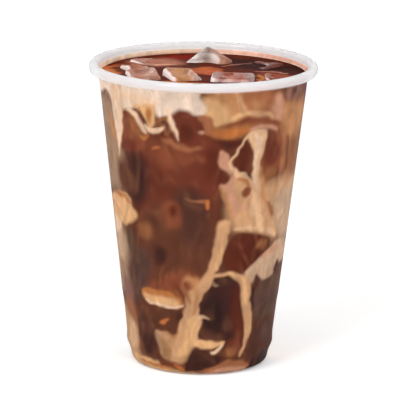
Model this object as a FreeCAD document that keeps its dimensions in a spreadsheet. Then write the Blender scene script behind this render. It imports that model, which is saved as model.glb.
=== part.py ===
import FreeCAD, Part
import math
import os
import Sketcher

# Iced coffee to go: a clear thermoformed cup with a rolled lip, filled with coffee nearly to
# the brim, and ice cubes that break the surface.
# Millimetres, +Z up. The origin is the middle of the ring that the cup stands on.

SIZES = {
    "rim_diameter": 98,         # over the rolled lip
    "cup_height": 131,          # standing ring to top of the lip
    "foot_diameter": 59.8,      # outside, where the wall meets the heel
    "wall_sheet": 0.5,          # thickness of the formed sheet
    "lip_width": 4.0,           # rolled lip, across its section
    "lip_drop": 0.6,            # straight run down the outside of the lip
    "lip_curl": 115,            # degrees that the lip turns back in under itself
    "heel_round": 3.2,          # outer round between foot and wall
    "ring_width": 2.6,          # flat ring that the cup stands on
    "push_up": 2.6,             # how far the middle of the base is raised
    "push_slope": 3.0,          # width of the slope up to the raised middle
    "ledge_height": 9.0,        # top of the stacking ledge above the foot
    "ledge_rise": 3.3,
    "ledge_depth": 1.4,
    "ledge_band": 4.0,          # upright band of wall above the ledge
    "step_height": 27.0,        # foot of the stacking step, higher up the wall
    "step_rise": 4.0,
    "step_depth": 0.7,
    "fill_gap": 5.0,            # coffee surface below the top of the lip
    "ice_edge": 18.0,           # a usual cube
    "ice_gap": 1.0,             # room between neighbouring cubes, before they tip
    "ice_wall_gap": 0.4,        # cubes keep this far from the wall
    "ice_round": 1.9,           # melted edges
    "dish_width": 10.5,         # hollow that melting leaves in a cube's top
    "dish_depth": 1.1,
}

# Each cube: columns to the right and rows to the back of the cup's middle, in cube pitches;
# height of its top face's middle above the coffee; its length, width and depth against a
# usual cube; and its yaw, pitch and roll in degrees.
ICE = {
    "ice_back": (0.10, 1.26, 0.9, 0.90, 0.90, 0.90, 41, -24, 17),
    "ice_back_left": (-1.12, 1.32, -0.2, 0.92, 0.88, 0.88, 40, 7, 6),
    "ice_back_right": (1.24, 1.02, -0.1, 0.92, 0.90, 0.90, -44, -6, 7),
    "ice_left_chip": (-1.56, 0.50, 1.6, 0.58, 0.60, 0.60, 24, 6, -9),
    "ice_left": (-1.36, -0.42, 1.9, 0.74, 0.92, 0.94, 10, -4, 3),
    "ice_centre_left": (-0.46, -0.44, 2.1, 0.74, 0.98, 0.92, 17, 5, 4),
    "ice_centre_right": (0.66, -0.52, 1.6, 1.04, 0.98, 0.96, -3, 1, -2),
    "ice_right": (1.74, -0.18, -0.2, 0.80, 0.92, 0.90, 4, 7, -3),
    "ice_front_left": (-0.96, -1.52, -0.6, 0.94, 0.80, 0.92, 24, 5, -5),
    "ice_front": (0.10, -1.62, -0.5, 0.90, 0.84, 0.90, -8, -5, 5),
    "ice_front_right": (1.26, -1.62, -0.5, 0.88, 0.82, 0.88, -36, 5, 5),
}
ICE_MEASURES = ("column", "row", "rise", "long", "wide", "deep", "yaw", "pitch", "roll")

doc = FreeCAD.newDocument("IcedCoffee")
sheet = doc.addObject("Spreadsheet::Sheet", "Sizes")


def fill_sheet():
    cells = dict(SIZES)
    for cube, values in ICE.items():
        for measure, value in zip(ICE_MEASURES, values):
            cells[f"{cube}_{measure}"] = value
    for row, (alias, value) in enumerate(cells.items(), start=1):
        sheet.set(f"A{row}", alias)
        sheet.set(f"B{row}", str(value))
        sheet.setAlias(f"B{row}", alias)
    doc.recompute()


def size(alias):
    return f"Sizes.{alias}"


def value_of(rule):
    """What a rule in the sheet's names comes to now, in millimetres."""
    return float(sheet.evalExpression(rule))


# The cup's section, as rules in the sheet's names. Radii are outside the wall.
RIM = f"({size('rim_diameter')} / 2)"
FOOT = f"({size('foot_diameter')} / 2)"
SHEET = size("wall_sheet")
MOUTH = f"({RIM} - {size('lip_width')})"
LIP_RADIUS = f"({size('lip_width')} / 2)"
LIP_MIDDLE = f"({size('cup_height')} - {LIP_RADIUS})"
LIP_LOW = f"({LIP_MIDDLE} - {size('lip_drop')})"
LEDGE_FOOT = f"({size('ledge_height')} - {size('ledge_rise')})"
BAND_TOP = f"({size('ledge_height')} + {size('ledge_band')})"
STEP_TOP = f"({size('step_height')} + {size('step_rise')})"
# The sloping runs of wall share one taper, so that ledge, step and lip stay joined to them.
SLOPING = f"({LIP_MIDDLE} - {BAND_TOP} + {LEDGE_FOOT} - {size('step_rise')})"
TAPER = (f"(({MOUTH} + {SHEET} - {FOOT} - {size('ledge_depth')} - {size('step_depth')})"
         f" / {SLOPING})")
LEDGE_IN = f"({FOOT} + {TAPER} * {LEDGE_FOOT})"
LEDGE_OUT = f"({LEDGE_IN} + {size('ledge_depth')})"
STEP_IN = f"({LEDGE_OUT} + {TAPER} * ({size('step_height')} - {BAND_TOP}))"
STEP_OUT = f"({STEP_IN} + {size('step_depth')})"
LEVEL = f"({size('cup_height')} - {size('fill_gap')})"
LEVEL_OUT = f"({MOUTH} + {SHEET} - {TAPER} * ({LIP_MIDDLE} - {LEVEL}))"
RING_IN = f"({FOOT} - {size('heel_round')} - {size('ring_width')})"
RAISED = f"({RING_IN} - {size('push_slope')})"


class Arc:
    """The stretch to a corner is an arc about a centre, instead of a straight line."""

    def __init__(self, radius, centre_r, centre_z, clockwise=False):
        self.radius = radius
        self.centre = (centre_r, centre_z)
        self.clockwise = clockwise


def plane_of(body, role):
    return next(feature for feature in body.Origin.OriginFeatures if feature.Role == role)


def section_sketch(body, name, corners):
    """A closed outline of (radius, height, Arc or None) corners, every one bound to the sheet."""
    sketch = body.newObject("Sketcher::SketchObject", name)
    sketch.AttachmentSupport = [(plane_of(body, "XZ_Plane"), "")]
    sketch.MapMode = "FlatFace"
    points = [FreeCAD.Vector(value_of(r), value_of(z), 0) for r, z, _ in corners]
    ends = []
    for index, (_, _, bend) in enumerate(corners):
        start, end = points[index - 1], points[index]
        if bend is None:
            ends.append((sketch.addGeometry(Part.LineSegment(start, end)), 1, 2))
        else:
            ends.append(add_arc(sketch, start, end, bend))
    for index, (r, z, bend) in enumerate(corners):
        edge, first, last = ends[index]
        following, next_first, _ = ends[(index + 1) % len(corners)]
        sketch.addConstraint(Sketcher.Constraint("Coincident", edge, last, following, next_first))
        bind_corner(sketch, edge, last, "DistanceX", points[index].x, r)
        bind_corner(sketch, edge, last, "DistanceY", points[index].y, z)
        if bend is not None:
            radius = Sketcher.Constraint("Radius", edge, value_of(bend.radius))
            sketch.setExpression(f"Constraints[{sketch.addConstraint(radius)}]", bend.radius)
    return sketch


def add_arc(sketch, start, end, bend):
    centre = FreeCAD.Vector(value_of(bend.centre[0]), value_of(bend.centre[1]), 0)
    if bend.clockwise:
        start, end = end, start
    turn = [math.atan2(p.y - centre.y, p.x - centre.x) for p in (start, end)]
    if turn[1] <= turn[0]:
        turn[1] += 2 * math.pi
    circle = Part.Circle(centre, FreeCAD.Vector(0, 0, 1), value_of(bend.radius))
    edge = sketch.addGeometry(Part.ArcOfCircle(circle, *turn))
    return (edge, 2, 1) if bend.clockwise else (edge, 1, 2)


def bind_corner(sketch, edge, point, kind, place, rule):
    """Hold one coordinate of a corner to its rule; a corner on the axis is held there."""
    if abs(place) < 1e-9:
        line = -2 if kind == "DistanceX" else -1
        sketch.addConstraint(Sketcher.Constraint("PointOnObject", edge, point, line))
        return
    held = sketch.addConstraint(Sketcher.Constraint(kind, -1, 1, edge, point, place))
    sketch.setExpression(f"Constraints[{held}]", rule)


def turned(body, name, corners):
    """Turn a section once round the cup's axis."""
    sketch = section_sketch(body, f"{name}Section", corners)
    turn = body.newObject("PartDesign::Revolution", name)
    turn.Profile = sketch
    turn.ReferenceAxis = (sketch, ["V_Axis"])
    turn.Angle = 360
    return turn


def inside(radius, inset=SHEET):
    return f"({radius} - {inset})"


def wall_inside(inset):
    """Corners up the inner face of heel, ledge and step, from the base to above the step."""
    heel = f"({size('heel_round')} - {SHEET})"
    heel_top = f"({SHEET} + {heel})"
    heel_foot = inside(f"({FOOT} - {heel})", inset)
    return [
        (heel_foot, SHEET, None),
        (inside(FOOT, inset), heel_top, Arc(heel, heel_foot, heel_top)),
        (inside(LEDGE_IN, inset), LEDGE_FOOT, None),
        (inside(LEDGE_OUT, inset), size("ledge_height"), None),
        (inside(LEDGE_OUT, inset), BAND_TOP, None),
        (inside(STEP_IN, inset), size("step_height"), None),
        (inside(STEP_OUT, inset), STEP_TOP, None),
    ]


def raised_base():
    """Corners along the upper face of the base, from the axis out to the ring."""
    floor = f"({size('push_up')} + {SHEET})"
    return [("0", floor, None), (RAISED, floor, None), (RING_IN, SHEET, None)]


def make_cup():
    body = doc.addObject("PartDesign::Body", "Cup")
    heel = size("heel_round")
    lip_inner = f"({LIP_RADIUS} - {SHEET})"
    lip_axis = f"({RIM} - {LIP_RADIUS})"
    curl = f"({size('lip_curl')} * 1 deg)"
    over = Arc(lip_inner, lip_axis, LIP_MIDDLE, clockwise=True)
    under = Arc(lip_inner, lip_axis, LIP_LOW, clockwise=True)
    back_under = Arc(LIP_RADIUS, lip_axis, LIP_LOW)
    back_over = Arc(LIP_RADIUS, lip_axis, LIP_MIDDLE)
    outside = [
        ("0", size("push_up"), None),
        (RAISED, size("push_up"), None),
        (RING_IN, "0", None),
        (f"({FOOT} - {heel})", "0", None),
        (FOOT, heel, Arc(heel, f"({FOOT} - {heel})", heel)),
        (LEDGE_IN, LEDGE_FOOT, None),
        (LEDGE_OUT, size("ledge_height"), None),
        (LEDGE_OUT, BAND_TOP, None),
        (STEP_IN, size("step_height"), None),
        (STEP_OUT, STEP_TOP, None),
        (f"({MOUTH} + {SHEET})", LIP_MIDDLE, None),
    ]
    lip = [
        (lip_axis, f"({LIP_MIDDLE} + {lip_inner})", over),
        (f"({RIM} - {SHEET})", LIP_MIDDLE, over),
        (f"({RIM} - {SHEET})", LIP_LOW, None),
        (f"({lip_axis} + {lip_inner} * cos({curl}))",
         f"({LIP_LOW} - {lip_inner} * sin({curl}))", under),
        (f"({lip_axis} + {LIP_RADIUS} * cos({curl}))",
         f"({LIP_LOW} - {LIP_RADIUS} * sin({curl}))", None),
        (RIM, LIP_LOW, back_under),
        (RIM, LIP_MIDDLE, None),
        (lip_axis, f"({LIP_MIDDLE} + {LIP_RADIUS})", back_over),
        (MOUTH, LIP_MIDDLE, back_over),
    ]
    turned(body, "CupWall", outside + lip + down_inside())
    body.Label = "cup"
    return body


def down_inside():
    """The inner face taken from the lip down to the middle of the base."""
    up = raised_base() + wall_inside(SHEET)
    down = []
    for index in range(len(up) - 1, -1, -1):
        bend = up[index + 1][2] if index + 1 < len(up) else None
        if bend is not None:
            bend = Arc(bend.radius, *bend.centre, clockwise=True)
        down.append((up[index][0], up[index][1], bend))
    return down


def make_coffee_body():
    """Coffee up to its level, before the ice is cut out of it; it fills the cup to the wall."""
    body = doc.addObject("PartDesign::Body", "CoffeeBody")
    surface = [(inside(LEVEL_OUT), LEVEL, None), ("0", LEVEL, None)]
    turned(body, "CoffeeFill", raised_base() + wall_inside(SHEET) + surface)
    return body


def make_ice_space():
    """The room that cubes may take: the inside of the cup, less a gap at the wall, and above."""
    body = doc.addObject("PartDesign::Body", "IceSpace")
    inset = f"({SHEET} + {size('ice_wall_gap')})"
    above = f"({size('cup_height')} + {size('ice_edge')})"
    mouth = f"({MOUTH} - {size('ice_wall_gap')})"
    corners = [
        ("0", STEP_TOP, None),
        (inside(STEP_OUT, inset), STEP_TOP, None),
        (mouth, LIP_MIDDLE, None),
        (mouth, above, None),
        ("0", above, None),
    ]
    turned(body, "IceSpaceTurn", corners)
    return body


def make_cube(name, space):
    """One cube with melted edges and a dished top, tipped and set at its place."""
    own = {measure: size(f"{name}_{measure}") for measure in ICE_MEASURES}
    body = doc.addObject("PartDesign::Body", f"{name}_cube")
    block = body.newObject("PartDesign::AdditiveBox", f"{name}_block")
    block.AttachmentSupport = [(plane_of(body, "XY_Plane"), "")]
    block.MapMode = "FlatFace"
    edge = size("ice_edge")
    block.setExpression("Length", f"{edge} * {own['long']}")
    block.setExpression("Width", f"{edge} * {own['wide']}")
    block.setExpression("Height", f"{edge} * {own['deep']}")
    block.setExpression("AttachmentOffset.Base.x", f"-{edge} * {own['long']} / 2")
    block.setExpression("AttachmentOffset.Base.y", f"-{edge} * {own['wide']} / 2")
    block.setExpression("AttachmentOffset.Base.z", f"-{edge} * {own['deep']}")
    doc.recompute()
    melt = body.newObject("PartDesign::Fillet", f"{name}_melt")
    melt.Base = (block, [""])
    melt.UseAllEdges = True
    melt.setExpression("Radius", size("ice_round"))
    doc.recompute()
    dish = body.newObject("PartDesign::SubtractiveSphere", f"{name}_dish")
    dish.AttachmentSupport = [(plane_of(body, "XY_Plane"), "")]
    dish.MapMode = "FlatFace"
    half, depth = f"({size('dish_width')} / 2)", size("dish_depth")
    sphere = f"(({half} * {half} + {depth} * {depth}) / (2 * {depth}))"
    dish.setExpression("Radius", sphere)
    dish.setExpression("AttachmentOffset.Base.z", f"{sphere} - {depth}")
    pitch_of_cubes = f"({edge} + {size('ice_gap')})"
    body.setExpression("Placement", (
        f"placement(vector({own['column']} * {pitch_of_cubes}; {own['row']} * {pitch_of_cubes};"
        f" {LEVEL} + {own['rise']});"
        f" rotation({own['yaw']}; {own['pitch']}; {own['roll']}))"))
    cube = doc.addObject("Part::Common", name)
    cube.Base = body
    cube.Tool = space
    cube.Label = name
    return cube


def make_coffee(fill, cubes):
    """The coffee with the cubes' room cut out of it."""
    ice = doc.addObject("Part::MultiFuse", "IceTogether")
    ice.Shapes = cubes
    coffee = doc.addObject("Part::Cut", "Coffee")
    coffee.Base = fill
    coffee.Tool = ice
    coffee.Label = "coffee"
    return coffee


def check(parts):
    for made in doc.Objects:
        if "Invalid" in made.State or "Error" in made.State:
            raise RuntimeError(f"{made.Name} did not compute: {made.State}")
    for part in parts:
        if part.Shape.isNull() or not part.Shape.isValid():
            raise RuntimeError(f"{part.Label} has no valid shape")
        if len(part.Shape.Solids) != 1:
            raise RuntimeError(f"{part.Label} is {len(part.Shape.Solids)} solids, not one")


def write(parts):
    os.makedirs("parts", exist_ok=True)
    for part in parts:
        part.Shape.exportStep(os.path.join("parts", f"{part.Label}.step"))


fill_sheet()
cup = make_cup()
fill = make_coffee_body()
space = make_ice_space()
doc.recompute()
cubes = [make_cube(name, space) for name in ICE]
doc.recompute()
coffee = make_coffee(fill, cubes)
doc.recompute()
parts = [cup, coffee] + cubes
check(parts)
write(parts)
for part in parts:
    box = part.Shape.BoundBox
    print(f"{part.Label}: {part.Shape.Volume / 1000:.2f} ml,"
          f" z {box.ZMin:.2f} to {box.ZMax:.2f}, across {box.XLength:.1f} x {box.YLength:.1f}")
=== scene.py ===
import math

import bmesh
import bpy
import numpy as np
from mathutils import Euler, Matrix, Vector, noise
from mathutils.bvhtree import BVHTree


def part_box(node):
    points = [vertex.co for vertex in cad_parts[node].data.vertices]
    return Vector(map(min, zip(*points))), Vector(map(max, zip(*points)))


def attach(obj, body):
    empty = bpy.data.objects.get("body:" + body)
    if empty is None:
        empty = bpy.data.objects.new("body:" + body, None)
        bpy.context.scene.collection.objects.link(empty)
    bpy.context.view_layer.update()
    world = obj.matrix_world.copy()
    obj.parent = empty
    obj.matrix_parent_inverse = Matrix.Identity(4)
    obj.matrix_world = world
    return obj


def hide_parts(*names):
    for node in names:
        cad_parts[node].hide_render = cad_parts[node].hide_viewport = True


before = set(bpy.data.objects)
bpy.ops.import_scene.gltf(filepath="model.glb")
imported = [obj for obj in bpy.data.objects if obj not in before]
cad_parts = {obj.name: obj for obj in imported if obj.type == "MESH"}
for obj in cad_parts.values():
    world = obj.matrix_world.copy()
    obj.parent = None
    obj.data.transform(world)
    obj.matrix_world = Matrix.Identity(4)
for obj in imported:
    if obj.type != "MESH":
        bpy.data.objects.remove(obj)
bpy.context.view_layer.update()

MM = 0.001
TOUCH = 1e-6                    # metres; points nearer than this are one
NOISE_SEED = 11                 # fixed, because the noise would otherwise start from the clock
noise.seed_set(NOISE_SEED)
ICE = sorted(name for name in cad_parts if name.startswith("ice"))

# ---------------------------------------------------------------- sizes, in millimetres
cup_low, cup_high = (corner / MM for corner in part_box("cup"))
RIM_RADIUS = (cup_high.x - cup_low.x) / 2
CUP_HEIGHT = cup_high.z
FILL_GAP = 5.0                  # coffee surface, below the top of the lip
LEVEL = CUP_HEIGHT - FILL_GAP
SHEET = 0.5                     # wall of the cup
BITE = 0.1                      # how far the coffee's skin reaches into the wall
AXIS_GAP = 0.02                 # a turned outline starts this far from the axis
LIP_WIDTH = 4.0
LIP_DROP = 0.6
LIP_CURL = math.radians(115)
LIP_FINISH = 1.6                # the lip's finish starts this far below the middle of its roll
FOOT_RADIUS = 29.9
HEEL_ROUND = 3.2
RING_WIDTH = 2.6
PUSH_UP = 2.6
PUSH_SLOPE = 3.0
LEDGE_FOOT, LEDGE_TOP, LEDGE_BAND = 5.7, 9.0, 13.0
LEDGE_DEPTH = 1.4
STEP_FOOT, STEP_TOP, STEP_DEPTH = 27.0, 31.0, 0.7
CORNER_EASE = 0.7
CUP_FACETS = 192
CLOSE_ROWS, WIDE_ROWS = 0.8, 4.0            # gaps between the wall's rows
CLOSE_ROWS_END, WIDE_ROWS_START = 34.0, 36.0
RING_IN = FOOT_RADIUS - HEEL_ROUND - RING_WIDTH
RAISED = RING_IN - PUSH_SLOPE
LIP_RADIUS = LIP_WIDTH / 2
LIP_MIDDLE = CUP_HEIGHT - LIP_RADIUS
MOUTH_RADIUS = RIM_RADIUS - LIP_WIDTH
SLOPING = LIP_MIDDLE - LEDGE_BAND + LEDGE_FOOT - (STEP_TOP - STEP_FOOT)
TAPER = (MOUTH_RADIUS + SHEET - FOOT_RADIUS - LEDGE_DEPTH - STEP_DEPTH) / SLOPING
LEDGE_IN = FOOT_RADIUS + TAPER * LEDGE_FOOT
LEDGE_OUT = LEDGE_IN + LEDGE_DEPTH
STEP_IN = LEDGE_OUT + TAPER * (STEP_FOOT - LEDGE_BAND)
STEP_OUT = STEP_IN + STEP_DEPTH
WALL_HEIGHTS = (HEEL_ROUND, LEDGE_FOOT, LEDGE_TOP, LEDGE_BAND, STEP_FOOT, STEP_TOP, LIP_MIDDLE)
WALL_RADII = (FOOT_RADIUS, LEDGE_IN, LEDGE_OUT, LEDGE_OUT, STEP_IN, STEP_OUT,
              MOUTH_RADIUS + SHEET)


def wall_radius(height):
    """Outside radius of the wall, its corners eased the way a formed sheet takes them."""
    ease = np.linspace(-CORNER_EASE, CORNER_EASE, 7)
    return float(np.mean(np.interp(np.clip(height + ease, HEEL_ROUND, LIP_MIDDLE),
                                   WALL_HEIGHTS, WALL_RADII)))


def arc(radius, centre_r, centre_z, start, end, steps):
    return [(centre_r + radius * math.cos(t), centre_z + radius * math.sin(t))
            for t in np.linspace(start, end, steps)]


# ---------------------------------------------------------------- small helpers
def srgb(r, g, b):
    """Linear colour from a colour as it is seen, 0 to 255."""
    return tuple((c / 255) ** 2.2 for c in (r, g, b))


def put(name, data):
    """A new object at the origin that holds the data."""
    made = bpy.data.objects.new(name, data)
    bpy.context.scene.collection.objects.link(made)
    return made


def shade_smooth(piece):
    piece.data.polygons.foreach_set("use_smooth", [True] * len(piece.data.polygons))


def new_piece(name, vertices, faces):
    mesh = bpy.data.meshes.new(name)
    mesh.from_pydata([tuple(v) for v in vertices], [], [tuple(f) for f in faces])
    mesh.validate()
    mesh.update()
    piece = put(name, mesh)
    shade_smooth(piece)
    return piece


def face_outward(piece):
    tool = bmesh.new()
    tool.from_mesh(piece.data)
    bmesh.ops.remove_doubles(tool, verts=tool.verts, dist=TOUCH)
    bmesh.ops.recalc_face_normals(tool, faces=tool.faces)
    tool.to_mesh(piece.data)
    tool.free()
    piece.data.update()


def settle(piece):
    """Turn a piece's live modifiers into its plain mesh."""
    depsgraph = bpy.context.evaluated_depsgraph_get()
    result = bpy.data.meshes.new_from_object(piece.evaluated_get(depsgraph))
    piece.modifiers.clear()
    old = piece.data
    piece.data = result
    bpy.data.meshes.remove(old)


def lattice(columns, rows):
    """Quads between rows of columns, the last column joined to the first one."""
    faces = []
    for row in range(rows - 1):
        low, high = row * columns, (row + 1) * columns
        faces += [(low + c, low + (c + 1) % columns, high + (c + 1) % columns, high + c)
                  for c in range(columns)]
    return faces


def fan(middle, ring, columns):
    """Triangles from a middle point to the ring of columns that starts at a given point."""
    return [(middle, ring + c, ring + (c + 1) % columns) for c in range(columns)]


def turned_over(faces):
    return [(a, c, b) for a, b, c in faces]


# ---------------------------------------------------------------- node helpers
class Nodes:
    """Short calls for building one material or geometry tree."""

    def __init__(self, tree):
        self.tree = tree
        tree.nodes.clear()

    def add(self, kind, settings=None, **inputs):
        """A new node. An input is named as its socket, or _0, _1 and so on by its place."""
        node = self.tree.nodes.new(kind)
        for key, value in (settings or {}).items():
            setattr(node, key, value)
        for key, value in inputs.items():
            socket = node.inputs[int(key[1:]) if key[0] == "_" else key.replace("_", " ")]
            if isinstance(value, bpy.types.NodeSocket):
                self.tree.links.new(value, socket)
            else:
                socket.default_value = value
        return node

    def out(self, kind, settings=None, **inputs):
        """The first output of a new node."""
        return self.add(kind, settings, **inputs).outputs[0]

    def maths(self, operation, a, b=0.0, clamp=False):
        return self.out("ShaderNodeMath", {"operation": operation, "use_clamp": clamp}, _0=a, _1=b)

    def ramp(self, value, low, high, to_low, to_high):
        return self.out("ShaderNodeMapRange", Value=value, From_Min=low, From_Max=high,
                        To_Min=to_low, To_Max=to_high)

    def noise(self, scale, detail, distortion=0.0, stretch=(1, 1, 1)):
        """Noise in the piece's own space; scale is in lumps per metre."""
        place = self.add("ShaderNodeTexCoord").outputs["Object"]
        mapped = self.out("ShaderNodeMapping", Vector=place, Scale=stretch)
        return self.add("ShaderNodeTexNoise", Vector=mapped, Scale=scale, Detail=detail,
                        Distortion=distortion).outputs["Fac"]

    def mottle(self, low, high, *lumps):
        """A value that wanders between two limits, in lumps given as for noise."""
        return self.ramp(self.noise(*lumps), 0.3, 0.7, low, high)

    def attribute(self, name, output):
        return self.add("ShaderNodeAttribute", {"attribute_name": name}).outputs[output]

    def shaded(self, colour, shade):
        """A colour made darker or lighter all at once."""
        return self.out("ShaderNodeVectorMath", {"operation": "SCALE"}, _0=colour, Scale=shade)

    def toward(self, share, colour, other, way="MIX"):
        """A colour moved toward another one, which is given as it is seen."""
        return self.add("ShaderNodeMix", {"data_type": "RGBA", "blend_type": way}, _0=share,
                        _6=colour, _7=(*srgb(*other), 1)).outputs[2]

    def blend(self, share, first, second):
        return self.out("ShaderNodeMixShader", _0=share, _1=first, _2=second)

    def lit_through(self, body, tint):
        """A shader whose shadow is only a tint, because light goes on through it."""
        through = self.out("ShaderNodeBsdfTransparent", Color=(*tint, 1))
        path = self.add("ShaderNodeLightPath")
        return self.blend(path.outputs["Is Shadow Ray"], body, through)

    def looked_at(self):
        """1 for what is seen straight or through glass, 0 for the light that it gives."""
        path = self.add("ShaderNodeLightPath")
        return self.maths("MAXIMUM", path.outputs["Is Camera Ray"],
                          path.outputs["Is Transmission Ray"])

    def finish(self, surface):
        self.add("ShaderNodeOutputMaterial", Surface=surface)


def material(name):
    made = bpy.data.materials.new(name)
    made.use_nodes = True
    return made, Nodes(made.node_tree)


# ---------------------------------------------------------------- finishes
GLOSS_SHARE = 0.2               # of the wall's full reflection
LIP_MILK = 0.42
CREAM_WISP = (160, 104, 70)
# painted highlight: the white laid on the ice's edges and on its faces turned towards the key lamp
HIGHLIGHT_WHITE = (255, 250, 248)
LIT_SIDE = (-0.8, -0.55, 0.1)     # faces turned this way, towards the key lamp, get a painted highlight


def clear_wall():
    """The formed sheet where coffee lies against it: nothing but a gloss over what is behind."""
    made, nodes = material("clear_wall")
    gloss = nodes.out("ShaderNodeBsdfGlossy", Color=(1, 1, 1, 1),
                      Roughness=nodes.mottle(0.03, 0.09, 90, 4))
    through = nodes.out("ShaderNodeBsdfTransparent", Color=(0.985, 0.985, 0.985, 1))
    facing = nodes.out("ShaderNodeFresnel", IOR=1.5)
    nodes.finish(nodes.blend(nodes.maths("MULTIPLY", facing, GLOSS_SHARE), through, gloss))
    return made


def clear_lip():
    """The rolled lip: clear plastic thick enough to bend light, and slightly milky."""
    made, nodes = material("clear_lip")
    cloud = nodes.ramp(nodes.noise(60, 3), 0.35, 0.65, 0.05, 0.12)
    glass = nodes.out("ShaderNodeBsdfPrincipled", Base_Color=(0.9, 0.88, 0.88, 1), IOR=1.45,
                      Roughness=cloud, Transmission_Weight=1.0)
    milk = nodes.out("ShaderNodeBsdfDiffuse", Color=(0.82, 0.81, 0.82, 1))
    nodes.finish(nodes.lit_through(nodes.blend(LIP_MILK, glass, milk), (0.95, 0.95, 0.95)))
    return made


def coffee_skin():
    """Coffee and cream against the wall; the swirls are in the piece's own colours."""
    made, nodes = material("coffee_skin")
    cloud = nodes.mottle(0.79, 1.18, 120, 5, 1.6, (1, 1, 0.5))
    grain = nodes.mottle(0.94, 1.06, 330, 4, 1.8, (1, 1, 0.6))
    wisps = nodes.ramp(nodes.noise(85, 6, 2.2, (1, 1, 0.55)), 0.52, 0.7, 0.0, 0.24)
    milky = nodes.toward(wisps, nodes.attribute("drink_and_painted_light", "Color"), CREAM_WISP, "LIGHTEN")
    tinted = nodes.shaded(milky, nodes.maths("MULTIPLY", cloud, grain))
    nodes.finish(nodes.out("ShaderNodeBsdfPrincipled", Base_Color=tinted,
                           Roughness=nodes.mottle(0.35, 0.5, 200, 2), Specular_IOR_Level=0.0))
    return made


def coffee_top():
    """The open surface: dark, wet and a little uneven."""
    made, nodes = material("coffee_top")
    cloud = nodes.mottle(0.8, 1.2, 160, 4, 0.8)
    tinted = nodes.shaded(nodes.attribute("drink_and_painted_light", "Color"), cloud)
    ripple = nodes.out("ShaderNodeBump", Strength=0.25, Distance=0.0006,
                       Height=nodes.noise(180, 2))
    nodes.finish(nodes.out("ShaderNodeBsdfPrincipled", Base_Color=tinted, Normal=ripple,
                           Roughness=nodes.mottle(0.12, 0.22, 300, 2),
                           Specular_IOR_Level=0.001))
    return made


def wet_ice():
    """Wet ice: clear in places, cloudy in others, with a painted highlight in white along its melted edges
    and on its faces turned towards the key lamp.
    """
    made, nodes = material("wet_ice")
    facing = nodes.add("ShaderNodeNewGeometry").outputs["Normal"]
    turned = nodes.add("ShaderNodeVectorMath", {"operation": "DOT_PRODUCT"}, _0=facing,
                       _1=LIT_SIDE).outputs["Value"]
    # painted highlight: white along the edges and on the faces turned towards the key lamp
    white = nodes.ramp(nodes.attribute("edge", "Fac"), 0.3, 0.7, 0.0, 0.8)
    painted_highlight = nodes.maths("MAXIMUM", white, nodes.ramp(turned, 0.4, 0.8, 0.0, 0.75))
    veins = nodes.ramp(nodes.noise(150, 4, 0.8), 0.36, 0.64, 0.22, 0.62)
    bump = nodes.out("ShaderNodeBump", Strength=0.4, Distance=0.0008,
                     Height=nodes.noise(190, 3, 0.4))
    glass = nodes.out("ShaderNodeBsdfPrincipled", Base_Color=(1.0, 0.9, 0.84, 1), IOR=1.2,
                      Roughness=nodes.mottle(0.04, 0.18, 260, 3), Normal=bump,
                      Transmission_Weight=1.0)
    tint = nodes.toward(painted_highlight, nodes.attribute("drink_and_painted_light", "Color"), HIGHLIGHT_WHITE)
    milk = nodes.out("ShaderNodeBsdfDiffuse", Color=tint, Normal=bump)
    body = nodes.blend(nodes.maths("ADD", veins, painted_highlight, clamp=True), glass, milk)
    nodes.finish(nodes.lit_through(body, (0.85, 0.8, 0.77)))
    return made


# ---------------------------------------------------------------- the cup, turned from its section
def cup_section():
    """Closed outline of the formed sheet as (radius, height), lip included."""
    inner_heel = HEEL_ROUND - SHEET
    heights = np.concatenate([np.arange(HEEL_ROUND + CLOSE_ROWS / 2, CLOSE_ROWS_END, CLOSE_ROWS),
                              np.arange(WIDE_ROWS_START, LIP_MIDDLE, WIDE_ROWS)])
    outside = [(AXIS_GAP, PUSH_UP), (RAISED, PUSH_UP), (RING_IN, 0.0)]
    outside += arc(HEEL_ROUND, FOOT_RADIUS - HEEL_ROUND, HEEL_ROUND, -math.pi / 2, 0, 9)
    outside += [(wall_radius(z), z) for z in heights]
    lip_axis = RIM_RADIUS - LIP_RADIUS
    inner = LIP_RADIUS - SHEET
    low = LIP_MIDDLE - LIP_DROP
    lip = arc(inner, lip_axis, LIP_MIDDLE, math.pi, 0, 17)
    lip += arc(inner, lip_axis, low, 0, -LIP_CURL, 11)
    lip += arc(LIP_RADIUS, lip_axis, low, -LIP_CURL, 0, 13)
    lip += arc(LIP_RADIUS, lip_axis, LIP_MIDDLE, 0, math.pi, 19)
    inside = [(wall_radius(z) - SHEET, z) for z in heights[::-1]]
    inside += arc(inner_heel, FOOT_RADIUS - SHEET - inner_heel, HEEL_ROUND, 0, -math.pi / 2, 9)
    inside += [(RING_IN, SHEET), (RAISED, PUSH_UP + SHEET), (AXIS_GAP, PUSH_UP + SHEET)]
    return outside + lip + inside


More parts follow.
